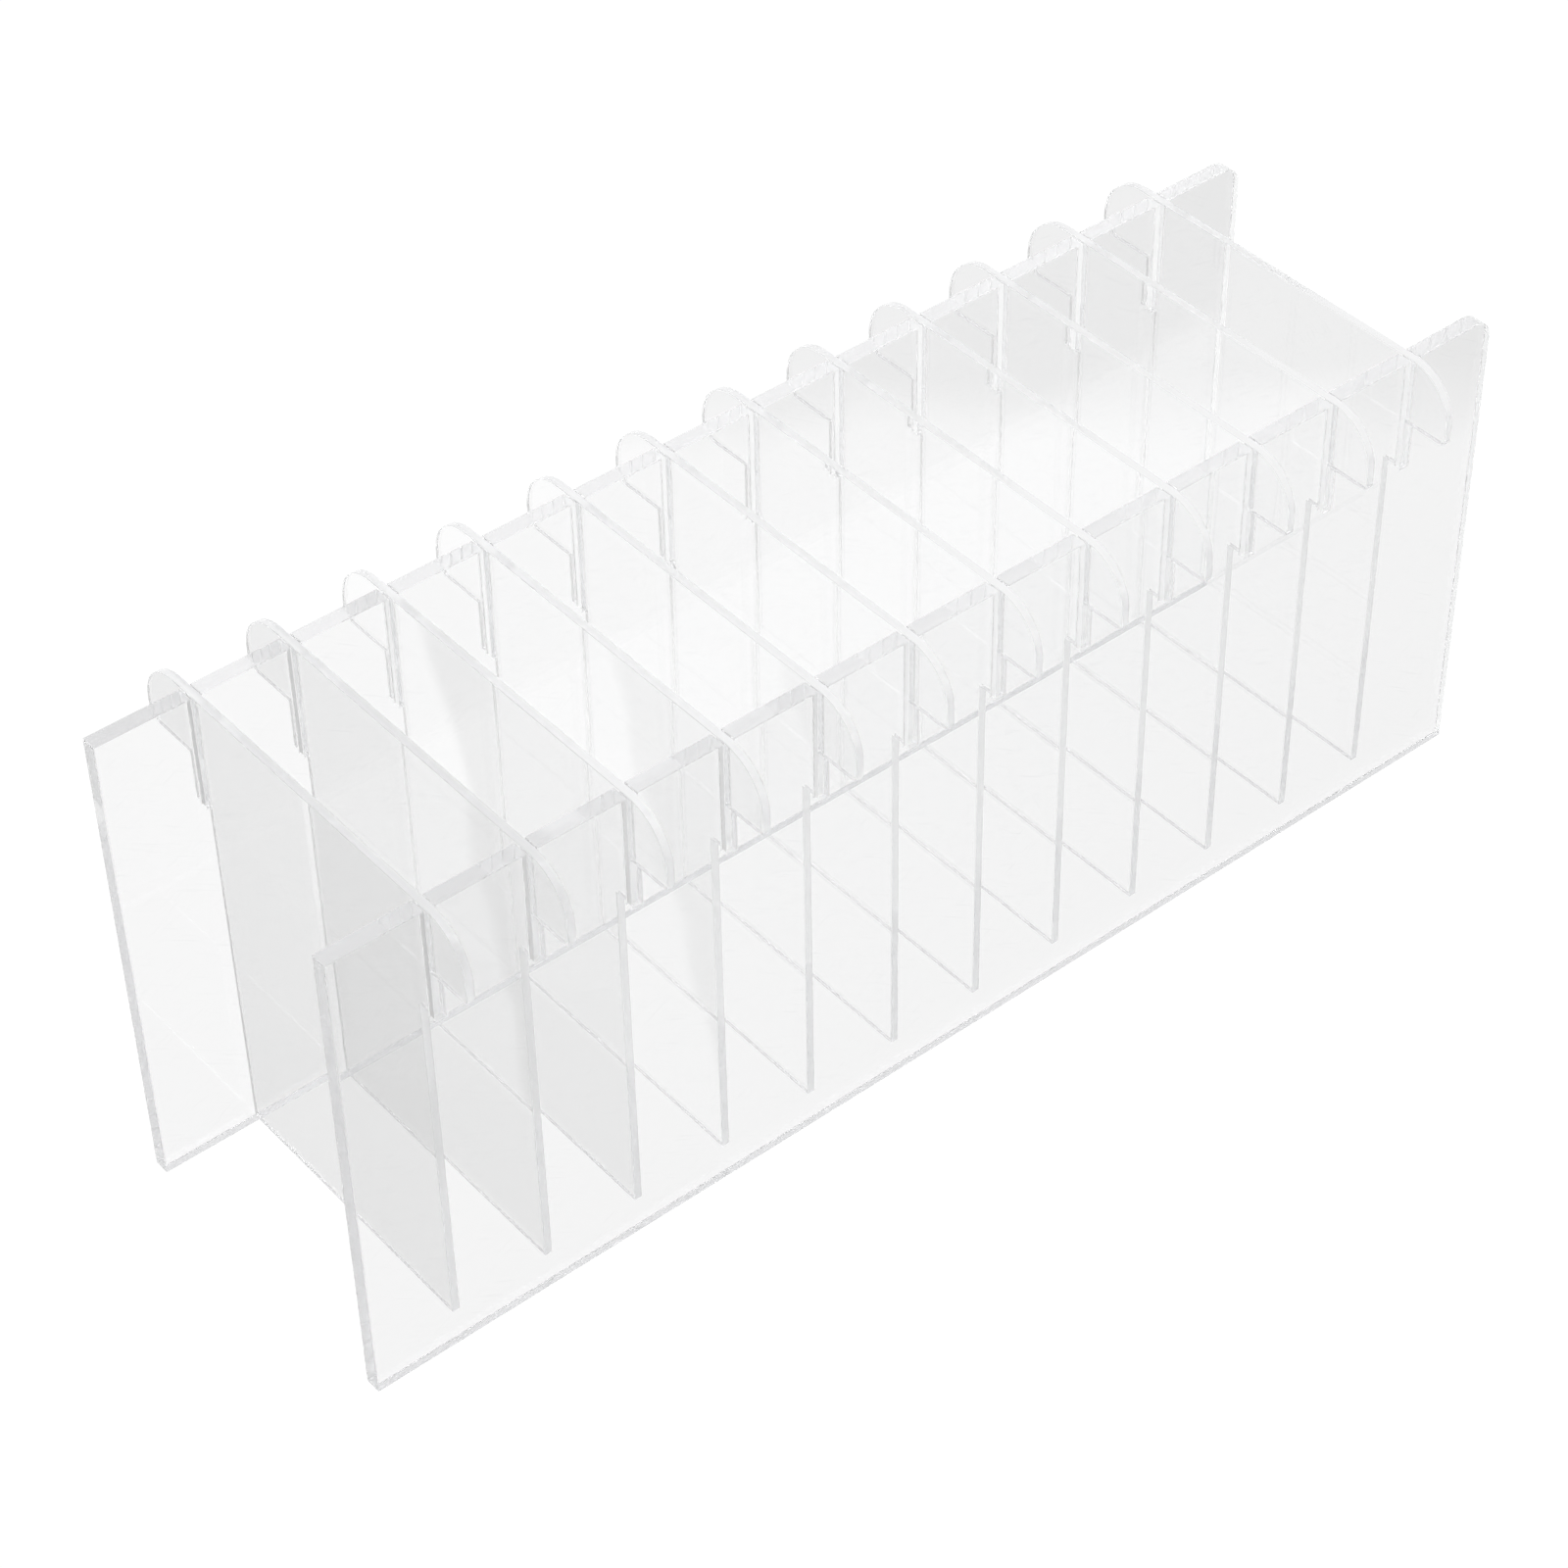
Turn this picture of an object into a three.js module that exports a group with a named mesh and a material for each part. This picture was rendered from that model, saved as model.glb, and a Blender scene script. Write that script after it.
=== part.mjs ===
// Clear acrylic card sorting tray: two long side rails stand on edge, and twelve
// cross dividers drop into slots cut down from the rails' top edges. Nothing is
// glued or screwed, so the tray packs flat. It has no floor: the compartments are
// open above and below.
//
// Units are millimetres. +X runs along the rails, +Y from the front rail to the
// back rail, +Z is up. The origin is on the table, at the middle of the bounding box.

import * as THREE from 'three';

// ---- driving dimensions ----

const RAIL_LENGTH = 300;
const RAIL_HEIGHT = 118.5;
const RAIL_THICKNESS = 4; // cut from 4 mm sheet
const RAIL_END_RADIUS = 5; // only the +X end has its top corner eased

const CHANNEL_WIDTH = 72; // clear width between the rails' inner faces
const CHANNEL_CENTRE_Y = -1.5; // the dividers rest this far towards the back rail

const DIVIDER_COUNT = 12;
const DIVIDER_THICKNESS = 1.9; // 2 mm sheet, a little under size
const DIVIDER_BODY_WIDTH = 68; // the panel that hangs between the rails
const DIVIDER_TONGUE_WIDTH = 81; // the stretch that fills both slots
const DIVIDER_OVERALL_WIDTH = 105; // over both ears
const DIVIDER_FLOOR_GAP = 2.5; // the panel hangs clear of the table

const SLOT_WIDTH = 2.3;
const SLOT_DEPTH = 28.5;
const SEAT_GAP = 0.1; // between a slot's floor and the tongue standing on it

const EAR_HEIGHT = 16.5;
const EAR_TOP_RADIUS = 11.5;
const EAR_LOWER_RADIUS = 1.2;

// ---- sizes that follow from them ----

const SLOT_PITCH = RAIL_LENGTH / (DIVIDER_COUNT + 1);
const SLOT_FLOOR_Z = RAIL_HEIGHT - SLOT_DEPTH;
const ARC_SEGMENTS = 7;

// The middle of slot number k, counted from the -X end.
function slotX(k) {
  return k * SLOT_PITCH - RAIL_LENGTH / 2;
}

// ---- clear acrylic ----

function clearAcrylic(color, opacity) {
  return new THREE.MeshStandardMaterial({
    color,
    roughness: 0.06,
    metalness: 0,
    transparent: true,
    opacity,
  });
}

// ---- side rails ----

// Outline of a rail seen from the front: x to the right, z up.
function railOutline() {
  const left = -RAIL_LENGTH / 2;
  const right = RAIL_LENGTH / 2;
  const outline = new THREE.Shape();
  outline.moveTo(left, 0);
  outline.lineTo(right, 0);
  outline.lineTo(right, RAIL_HEIGHT - RAIL_END_RADIUS);
  outline.absarc(
    right - RAIL_END_RADIUS,
    RAIL_HEIGHT - RAIL_END_RADIUS,
    RAIL_END_RADIUS,
    0,
    Math.PI / 2,
  );
  for (let k = DIVIDER_COUNT; k >= 1; k -= 1) {
    const slotRight = slotX(k) + SLOT_WIDTH / 2;
    const slotLeft = slotX(k) - SLOT_WIDTH / 2;
    outline.lineTo(slotRight, RAIL_HEIGHT);
    outline.lineTo(slotRight, SLOT_FLOOR_Z);
    outline.lineTo(slotLeft, SLOT_FLOOR_Z);
    outline.lineTo(slotLeft, RAIL_HEIGHT);
  }
  outline.lineTo(left, RAIL_HEIGHT);
  outline.closePath();
  return outline;
}

// The sheet stands on edge, with its -Y face at frontFaceY.
function sideRail(name, frontFaceY) {
  const geometry = new THREE.ExtrudeGeometry(railOutline(), {
    depth: RAIL_THICKNESS,
    bevelEnabled: false,
    curveSegments: ARC_SEGMENTS,
  });
  geometry.rotateX(Math.PI / 2);
  const rail = new THREE.Mesh(geometry, clearAcrylic(0xf3f6f7, 0.3));
  rail.name = name;
  rail.position.y = frontFaceY + RAIL_THICKNESS;
  return rail;
}

// ---- cross dividers ----

// Outline of a divider seen along the rails: y to the right, z up. The ears reach
// out over both rails, and the shoulders beside the panel stand on the slot floors.
function dividerOutline() {
  const top = RAIL_HEIGHT + SEAT_GAP;
  const shoulder = SLOT_FLOOR_Z + SEAT_GAP;
  const earUnderside = top - EAR_HEIGHT;
  const halfBody = DIVIDER_BODY_WIDTH / 2;
  const halfTongue = DIVIDER_TONGUE_WIDTH / 2;
  const halfOverall = DIVIDER_OVERALL_WIDTH / 2;
  const lowerCentre = [halfOverall - EAR_LOWER_RADIUS, earUnderside + EAR_LOWER_RADIUS];
  const upperCentre = [halfOverall - EAR_TOP_RADIUS, top - EAR_TOP_RADIUS];

  const outline = new THREE.Shape();
  outline.moveTo(-halfBody, DIVIDER_FLOOR_GAP);
  outline.lineTo(halfBody, DIVIDER_FLOOR_GAP);
  outline.lineTo(halfBody, shoulder);
  outline.lineTo(halfTongue, shoulder);
  outline.lineTo(halfTongue, earUnderside);
  outline.absarc(...lowerCentre, EAR_LOWER_RADIUS, -Math.PI / 2, 0);
  outline.absarc(...upperCentre, EAR_TOP_RADIUS, 0, Math.PI / 2);
  outline.absarc(-upperCentre[0], upperCentre[1], EAR_TOP_RADIUS, Math.PI / 2, Math.PI);
  outline.absarc(-lowerCentre[0], lowerCentre[1], EAR_LOWER_RADIUS, Math.PI, 1.5 * Math.PI);
  outline.lineTo(-halfTongue, earUnderside);
  outline.lineTo(-halfTongue, shoulder);
  outline.lineTo(-halfBody, shoulder);
  outline.closePath();
  return outline;
}

// Turned so that the outline's right is +Y, its up is +Z and the sheet's depth is X.
function crossDivider(number) {
  const geometry = new THREE.ExtrudeGeometry(dividerOutline(), {
    depth: DIVIDER_THICKNESS,
    bevelEnabled: false,
    curveSegments: ARC_SEGMENTS,
  });
  geometry.rotateX(Math.PI / 2);
  geometry.rotateZ(Math.PI / 2);
  const divider = new THREE.Mesh(geometry, clearAcrylic(0xeef1f2, 0.26));
  divider.name = `divider_${String(number).padStart(2, '0')}`;
  divider.position.x = slotX(number) - DIVIDER_THICKNESS / 2;
  return divider;
}

// ---- assembly ----

const tray = new THREE.Group();
tray.name = 'card_sorting_tray';
tray.add(sideRail('rail_front', CHANNEL_CENTRE_Y - CHANNEL_WIDTH / 2 - RAIL_THICKNESS));
tray.add(sideRail('rail_back', CHANNEL_CENTRE_Y + CHANNEL_WIDTH / 2));
for (let number = 1; number <= DIVIDER_COUNT; number += 1) {
  tray.add(crossDivider(number));
}

export default tray;
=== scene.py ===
import math

import bmesh
import bpy
from mathutils import Matrix, Vector


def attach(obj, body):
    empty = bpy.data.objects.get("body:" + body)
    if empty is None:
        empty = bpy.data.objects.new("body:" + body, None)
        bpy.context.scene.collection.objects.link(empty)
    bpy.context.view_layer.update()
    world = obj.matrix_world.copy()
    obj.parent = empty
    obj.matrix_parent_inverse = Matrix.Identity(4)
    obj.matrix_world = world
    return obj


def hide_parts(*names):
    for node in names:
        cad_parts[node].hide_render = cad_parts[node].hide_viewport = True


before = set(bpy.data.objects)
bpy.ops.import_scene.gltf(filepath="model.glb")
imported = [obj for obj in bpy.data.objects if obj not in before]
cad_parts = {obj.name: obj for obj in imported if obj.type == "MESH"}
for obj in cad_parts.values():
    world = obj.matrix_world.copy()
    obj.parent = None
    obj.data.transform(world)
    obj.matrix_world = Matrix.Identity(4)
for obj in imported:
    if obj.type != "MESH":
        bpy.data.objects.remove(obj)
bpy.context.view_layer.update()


# ---------------------------------------------------------------- camera
# A long lens looks down over the front left end of the tray, far enough away
# that the twelve dividers only fan out a little.
pan = -38.783
look_down = 42.415
roll = -1.11

camera_data = bpy.data.cameras.new("camera")
camera_data.sensor_width = 36
camera_data.lens = 93.18
camera_data.clip_start = 0.05
camera_data.clip_end = 50
camera = bpy.data.objects.new("camera", camera_data)
camera.location = (-0.4057, -0.4909, 0.6266)
camera.rotation_euler = (
    Matrix.Rotation(math.radians(pan), 3, "Z")
    @ Matrix.Rotation(math.radians(90 - look_down), 3, "X")
    @ Matrix.Rotation(math.radians(roll), 3, "Z")
).to_euler()
bpy.context.scene.collection.objects.link(camera)
bpy.context.scene.camera = camera
bpy.context.scene.view_settings.view_transform = "Standard"


# ---------------------------------------------------------------- table top
# A white table top that glows by itself, with no lamp lighting it. Seen
# directly it is blown out to white. Only the clear sheets show its tones, and these
# are painted: rays that come through or off the sheets see painted shade, a painted
# pale grey beyond the far line where a wall would stand, and painted dark patches
# as painted reflections.
table_half_width = 4
table_drop = 0.0003
seen_directly = 1.05

# the far edge of the table: a soft and slightly wavy line across the view. Seen
# through the sheets, the table is painted a shade below its direct white, and beyond
# this line it turns to a painted pale grey shade in place of a wall
far_direction = (0.6264, 0.7795, 0)
far_start = 0.19
far_end = 0.23
far_waves = 0.04
table_tone = 0.98
far_painted_shade = 0.855

# painted reflection: the table off to the left and in front is painted dimmer, and
# only rays mirrored off the sheets see it; rays mirrored more than once see it at
# half the contrast and darker overall
left_direction = (1, 0.512, 0)
left_start = -0.0775
left_end = -0.0745
left_waves = 0.012
near_start = -0.046
near_end = -0.036
dim_tone = 0.5
twice_share = 0.5
twice_tone = 0.43


def math_step(material, operation, *values):
    """A Math node, with each input either a number or another node's output."""
    step = material.node_tree.nodes.new("ShaderNodeMath")
    step.operation = operation
    for socket, value in zip(step.inputs, values):
        if isinstance(value, bpy.types.NodeSocket):
            material.node_tree.links.new(value, socket)
        else:
            socket.default_value = value
    return step.outputs[0]


def soft_edge(material, place, start, end, before, after):
    """A tone that turns from before to after as place runs from start to end."""
    turn = material.node_tree.nodes.new("ShaderNodeMapRange")
    turn.interpolation_type = "SMOOTHSTEP"
    for socket, value in zip(turn.inputs[1:5], (start, end, before, after)):
        socket.default_value = value
    material.node_tree.links.new(place, turn.inputs["Value"])
    return turn.outputs["Result"]


def distance_along(material, place, direction):
    """How far a point lies along a direction on the table."""
    measure = material.node_tree.nodes.new("ShaderNodeVectorMath")
    measure.operation = "DOT_PRODUCT"
    measure.inputs[1].default_value = direction
    material.node_tree.links.new(place, measure.inputs[0])
    return measure.outputs["Value"]


# plain glowing white for the camera; painted shade and painted reflections for rays through or off the
# sheets
table_paint = bpy.data.materials.new("glowing_table_painted_shade")
table_paint.use_nodes = True
nodes = table_paint.node_tree.nodes
links = table_paint.node_tree.links
nodes.remove(nodes["Principled BSDF"])
path = nodes.new("ShaderNodeLightPath")
place = nodes.new("ShaderNodeTexCoord").outputs["Object"]

waves = nodes.new("ShaderNodeTexNoise")
waves.inputs["Scale"].default_value = 18
waves.inputs["Detail"].default_value = 1
links.new(place, waves.inputs["Vector"])
wavy = waves.outputs["Fac"]
# painted shade for rays through the sheets: the table tone, turning to the painted grey beyond the wavy
# far line
far_line = math_step(
    table_paint, "MULTIPLY_ADD", wavy, far_waves, distance_along(table_paint, place, far_direction)
)
seen_through = soft_edge(table_paint, far_line, far_start, far_end, table_tone, far_painted_shade)

# painted reflection: dark patches to the left and in front, for rays mirrored off the sheets
left_line = math_step(
    table_paint, "MULTIPLY_ADD", wavy, left_waves, distance_along(table_paint, place, left_direction)
)
left_part = soft_edge(table_paint, left_line, left_start, left_end, dim_tone, 1)
table_place = nodes.new("ShaderNodeSeparateXYZ")
links.new(place, table_place.inputs[0])
near_part = soft_edge(table_paint, table_place.outputs["Y"], near_start, near_end, dim_tone, 1)
dimmer = math_step(table_paint, "MINIMUM", near_part, left_part)
evened = math_step(table_paint, "MULTIPLY_ADD", dimmer, twice_share, twice_tone)
# rays mirrored more than once see the painted dark patches evened out and darker
mirrored = nodes.new("ShaderNodeMix")
links.new(math_step(table_paint, "GREATER_THAN", path.outputs["Glossy Depth"], 1.5), mirrored.inputs[0])
links.new(dimmer, mirrored.inputs[2])
links.new(evened, mirrored.inputs[3])

# rays that only passed through the sheets see the painted far shade; rays mirrored off a sheet see the
# painted reflection patches
tone = nodes.new("ShaderNodeMix")
tone.data_type = "RGBA"
links.new(math_step(table_paint, "MINIMUM", path.outputs["Glossy Depth"], 1), tone.inputs[0])
links.new(seen_through, tone.inputs[6])
links.new(mirrored.outputs[0], tone.inputs[7])
through_sheets = nodes.new("ShaderNodeEmission")
links.new(tone.outputs[2], through_sheets.inputs["Color"])
blown_out = nodes.new("ShaderNodeEmission")
blown_out.inputs["Strength"].default_value = seen_directly
# the camera sees plain blown-out white, and every other ray sees the painted tones
either = nodes.new("ShaderNodeMixShader")
links.new(path.outputs["Is Camera Ray"], either.inputs["Fac"])
links.new(through_sheets.outputs["Emission"], either.inputs[1])
links.new(blown_out.outputs["Emission"], either.inputs[2])
links.new(either.outputs["Shader"], nodes["Material Output"].inputs["Surface"])

table_mesh = bpy.data.meshes.new("table_top")
bm = bmesh.new()
bmesh.ops.create_grid(bm, x_segments=1, y_segments=1, size=table_half_width)
bm.to_mesh(table_mesh)
bm.free()
table_mesh.materials.append(table_paint)
table = bpy.data.objects.new("table_top", table_mesh)
table.location.z = -table_drop
bpy.context.scene.collection.objects.link(table)


# ---------------------------------------------------------------- studio light
# The room is pale grey, with one wide soft box high over the near end. Light is
# followed through every sheet, and down the inside of a sheet from edge to edge.
sheet_crossings = 64

room = bpy.data.worlds.new("pale_room")
room.use_nodes = True
room.node_tree.nodes["Background"].inputs["Color"].default_value = (0.76, 0.76, 0.77, 1)
room.node_tree.nodes["Background"].inputs["Strength"].default_value = 1
bpy.context.scene.world = room

soft_box_data = bpy.data.lights.new("soft_box", "AREA")
soft_box_data.shape = "RECTANGLE"
soft_box_data.size = 1.6
soft_box_data.size_y = 1.6
soft_box_data.energy = 9
soft_box = bpy.data.objects.new("soft_box", soft_box_data)
soft_box.location = (-0.5, -0.3, 1.7)
aim = Vector((0.0, 0.0, 0.0)) - soft_box.location
soft_box.rotation_euler = aim.to_track_quat("-Z", "Y").to_euler()
bpy.context.scene.collection.objects.link(soft_box)

light_paths = bpy.context.scene.cycles
light_paths.max_bounces = sheet_crossings
light_paths.transmission_bounces = sheet_crossings
light_paths.glossy_bounces = sheet_crossings
light_paths.transparent_max_bounces = sheet_crossings
light_paths.diffuse_bounces = 4


# ---------------------------------------------------------------- side rails
# Two long sheets of 4 mm clear cast acrylic stand on edge. Twelve slots are laser
# cut down from the top edge, and only the far end's top corner is rounded.
rail_length = 0.300
rail_height = 0.1185
rail_thickness = 0.004
rail_front_faces = {"rail_front": -0.0415, "rail_back": 0.0345}
slot_count = 12
slot_pitch = rail_length / (slot_count + 1)
slot_width = 0.0023
slot_floor = 0.090
rail_corner_radius = 0.005
rail_eased_edge = 0.0003
acrylic_ior = 1.49
lost_after = 24.5


def let_light_through(material, acrylic):
    """Lamps and the room's soft light pass straight through the clear sheet.

    So does light that has been thrown back and forth inside it for too long.
    """
    nodes = material.node_tree.nodes
    links = material.node_tree.links
    path = nodes.new("ShaderNodeLightPath").outputs
    soft = math_step(material, "MAXIMUM", path["Is Shadow Ray"], path["Is Diffuse Ray"])
    trapped = math_step(material, "GREATER_THAN", path["Glossy Depth"], lost_after)
    see_through = nodes.new("ShaderNodeBsdfTransparent")
    see_through.inputs["Color"].default_value = (0.985, 0.985, 0.985, 1)
    either = nodes.new("ShaderNodeMixShader")
    links.new(math_step(material, "MAXIMUM", soft, trapped), either.inputs["Fac"])
    links.new(acrylic.outputs["BSDF"], either.inputs[1])
    links.new(see_through.outputs["BSDF"], either.inputs[2])
    links.new(either.outputs["Shader"], nodes["Material Output"].inputs["Surface"])


def wide_face(name, hairlines):
    """A face as smooth as it was cast, a little uneven and with hairline scratches.

    Each hairline set is the way it is turned and the length, depth and width of
    its marks, in the order of the sheet's own axes.
    """
    material = bpy.data.materials.new(name)
    material.use_nodes = True
    nodes = material.node_tree.nodes
    links = material.node_tree.links
    acrylic = nodes["Principled BSDF"]
    acrylic.inputs["Transmission Weight"].default_value = 1
    acrylic.inputs["Roughness"].default_value = 0
    acrylic.inputs["IOR"].default_value = acrylic_ior
    place = nodes.new("ShaderNodeTexCoord").outputs["Object"]

    scratches = []
    for turn, size in hairlines:
        turned = nodes.new("ShaderNodeMapping")
        turned.vector_type = "TEXTURE"
        turned.inputs["Rotation"].default_value = turn
        turned.inputs["Scale"].default_value = size
        streaks = nodes.new("ShaderNodeTexNoise")
        streaks.inputs["Scale"].default_value = 1
        streaks.inputs["Detail"].default_value = 1
        streaks.inputs["Distortion"].default_value = 0.15
        scratch = nodes.new("ShaderNodeMapRange")
        scratch.inputs["From Min"].default_value = 0.66
        scratch.inputs["From Max"].default_value = 0.78
        links.new(place, turned.inputs["Vector"])
        links.new(turned.outputs["Vector"], streaks.inputs["Vector"])
        links.new(streaks.outputs["Fac"], scratch.inputs["Value"])
        scratches.append(scratch.outputs["Result"])

    mottle = nodes.new("ShaderNodeTexNoise")
    mottle.inputs["Scale"].default_value = 600
    mottle.inputs["Detail"].default_value = 2
    cast = nodes.new("ShaderNodeMix")
    cast.data_type = "RGBA"
    cast.inputs[6].default_value = (1, 1, 1, 1)
    cast.inputs[7].default_value = (0.99, 0.991, 0.992, 1)
    worn = nodes.new("ShaderNodeMix")
    worn.data_type = "RGBA"
    worn.inputs[7].default_value = (0.94, 0.942, 0.944, 1)
    links.new(place, mottle.inputs["Vector"])
    links.new(mottle.outputs["Fac"], cast.inputs[0])
    links.new(cast.outputs[2], worn.inputs[6])
    links.new(math_step(material, "MAXIMUM", *scratches), worn.inputs[0])
    links.new(worn.outputs[2], acrylic.inputs["Base Color"])

    ripple = nodes.new("ShaderNodeTexNoise")
    ripple.inputs["Scale"].default_value = 40
    ripple.inputs["Detail"].default_value = 2
    bump = nodes.new("ShaderNodeBump")
    bump.inputs["Strength"].default_value = 0.05
    bump.inputs["Distance"].default_value = 0.0002
    links.new(place, ripple.inputs["Vector"])
    links.new(ripple.outputs["Fac"], bump.inputs["Height"])
    links.new(bump.outputs["Normal"], acrylic.inputs["Normal"])
    let_light_through(material, acrylic)
    return material


def cut_edge(name, clear_share, fineness, across):
    """A laser-cut edge: faintly frosted, with striations across the sheet."""
    material = bpy.data.materials.new(name)
    material.use_nodes = True
    nodes = material.node_tree.nodes
    links = material.node_tree.links
    acrylic = nodes["Principled BSDF"]
    acrylic.inputs["Base Color"].default_value = (0.975, 0.978, 0.98, 1)
    acrylic.inputs["Transmission Weight"].default_value = clear_share
    acrylic.inputs["Roughness"].default_value = 0.13
    acrylic.inputs["IOR"].default_value = acrylic_ior
    place = nodes.new("ShaderNodeTexCoord").outputs["Object"]
    stretched = nodes.new("ShaderNodeMapping")
    stretched.inputs["Scale"].default_value = across
    striations = nodes.new("ShaderNodeTexNoise")
    striations.inputs["Scale"].default_value = fineness
    striations.inputs["Detail"].default_value = 1
    bump = nodes.new("ShaderNodeBump")
    bump.inputs["Strength"].default_value = 0.004
    bump.inputs["Distance"].default_value = 0.0001
    links.new(place, stretched.inputs["Vector"])
    links.new(stretched.outputs["Vector"], striations.inputs["Vector"])
    links.new(striations.outputs["Fac"], bump.inputs["Height"])
    links.new(bump.outputs["Normal"], acrylic.inputs["Normal"])
    let_light_through(material, acrylic)
    return material


def cut_sheet(name, outline, through, eased_edge, face_finish, edge_finish):
    """Cut one sheet: the outline pushed through the thickness, with eased edges."""
    bm = bmesh.new()
    face = bm.faces.new([bm.verts.new(corner) for corner in outline])
    swept = bmesh.ops.extrude_face_region(bm, geom=[face])
    moved = [v for v in swept["geom"] if isinstance(v, bmesh.types.BMVert)]
    bmesh.ops.translate(bm, verts=moved, vec=through)
    bmesh.ops.recalc_face_normals(bm, faces=bm.faces)
    for f in bm.faces:
        f.material_index = 0 if abs(f.normal.dot(through.normalized())) > 0.9 else 1
        f.smooth = False
    sharp = [e for e in bm.edges if e.calc_face_angle(0) > 0.3]
    bmesh.ops.bevel(
        bm, geom=sharp, offset=eased_edge, segments=3, profile=0.5, affect="EDGES", material=1
    )
    mesh = bpy.data.meshes.new(name + "_sheet")
    bm.to_mesh(mesh)
    bm.free()
    mesh.materials.append(face_finish)
    mesh.materials.append(edge_finish)
    sheet = bpy.data.objects.new(name + "_sheet", mesh)
    bpy.context.scene.collection.objects.link(sheet)
    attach(sheet, name)
    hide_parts(name)
    return sheet


def round_corner(across, up, radius, start, end, steps):
    """Points along an arc about a corner's centre, from one angle to another."""
    turns = [math.radians(start + (end - start) * step / steps) for step in range(steps + 1)]
    return [(across + radius * math.cos(turn), up + radius * math.sin(turn)) for turn in turns]


rail_face = wide_face(
    "rail_wide_face",
    [((0, 0.6, 0), (0.012, 0.01, 0.00035)), ((0, -0.5, 0), (0.006, 0.01, 0.00035))],
)
rail_edge = cut_edge("rail_cut_edge", 0.84, 1100, (1, 0.06, 1))

rail_outline = [(-rail_length / 2, 0.0), (rail_length / 2, 0.0)]
rail_outline += round_corner(
    rail_length / 2 - rail_corner_radius, rail_height - rail_corner_radius, rail_corner_radius, 0, 90, 12
)
for number in range(slot_count, 0, -1):
    middle = number * slot_pitch - rail_length / 2
    rail_outline.append((middle + slot_width / 2, rail_height))
    rail_outline.append((middle + slot_width / 2, slot_floor))
    rail_outline.append((middle - slot_width / 2, slot_floor))
    rail_outline.append((middle - slot_width / 2, rail_height))
rail_outline.append((-rail_length / 2, rail_height))

for name, front_face in rail_front_faces.items():
    corners = [(x, front_face, z) for x, z in rail_outline]
    through = Vector((0, rail_thickness, 0))
    rail = cut_sheet(name, corners, through, rail_eased_edge, rail_face, rail_edge)


# ---------------------------------------------------------------- cross dividers
# Twelve sheets of thinner clear acrylic drop into the slots. Each has an ear at both
# ends that reaches out over its rail, and a panel that hangs between the rails.
divider_thickness = 0.0019
divider_top = 0.1186
shoulder = 0.0901
ear_underside = 0.1021
half_panel = 0.034
half_tongue = 0.0405
half_overall = 0.0525
panel_bottom = 0.0025
ear_low_radius = 0.0012
ear_top_radius = 0.0115
divider_eased_edge = 0.00018

# cards slide against these faces, so their scratches are finer than the rails'
divider_face = wide_face(
    "divider_wide_face",
    [((-0.64, 0, 0), (0.01, 0.008, 0.0003)), ((0.8, 0, 0), (0.01, 0.004, 0.0003))],
)
divider_edge = cut_edge("divider_cut_edge", 0.72, 1300, (0.06, 1, 1))

half_outline = [
    (half_panel, panel_bottom),
    (half_panel, shoulder),
    (half_tongue, shoulder),
    (half_tongue, ear_underside),
]
half_outline += round_corner(
    half_overall - ear_low_radius, ear_underside + ear_low_radius, ear_low_radius, -90, 0, 6
)
half_outline += round_corner(
    half_overall - ear_top_radius, divider_top - ear_top_radius, ear_top_radius, 0, 90, 24
)
divider_outline = half_outline + [(-y, z) for y, z in reversed(half_outline)]

for number in range(1, slot_count + 1):
    left_face = number * slot_pitch - rail_length / 2 - divider_thickness / 2
    corners = [(left_face, y, z) for y, z in divider_outline]
    through = Vector((divider_thickness, 0, 0))
    divider = cut_sheet(
        f"divider_{number:02d}", corners, through, divider_eased_edge, divider_face, divider_edge
    )
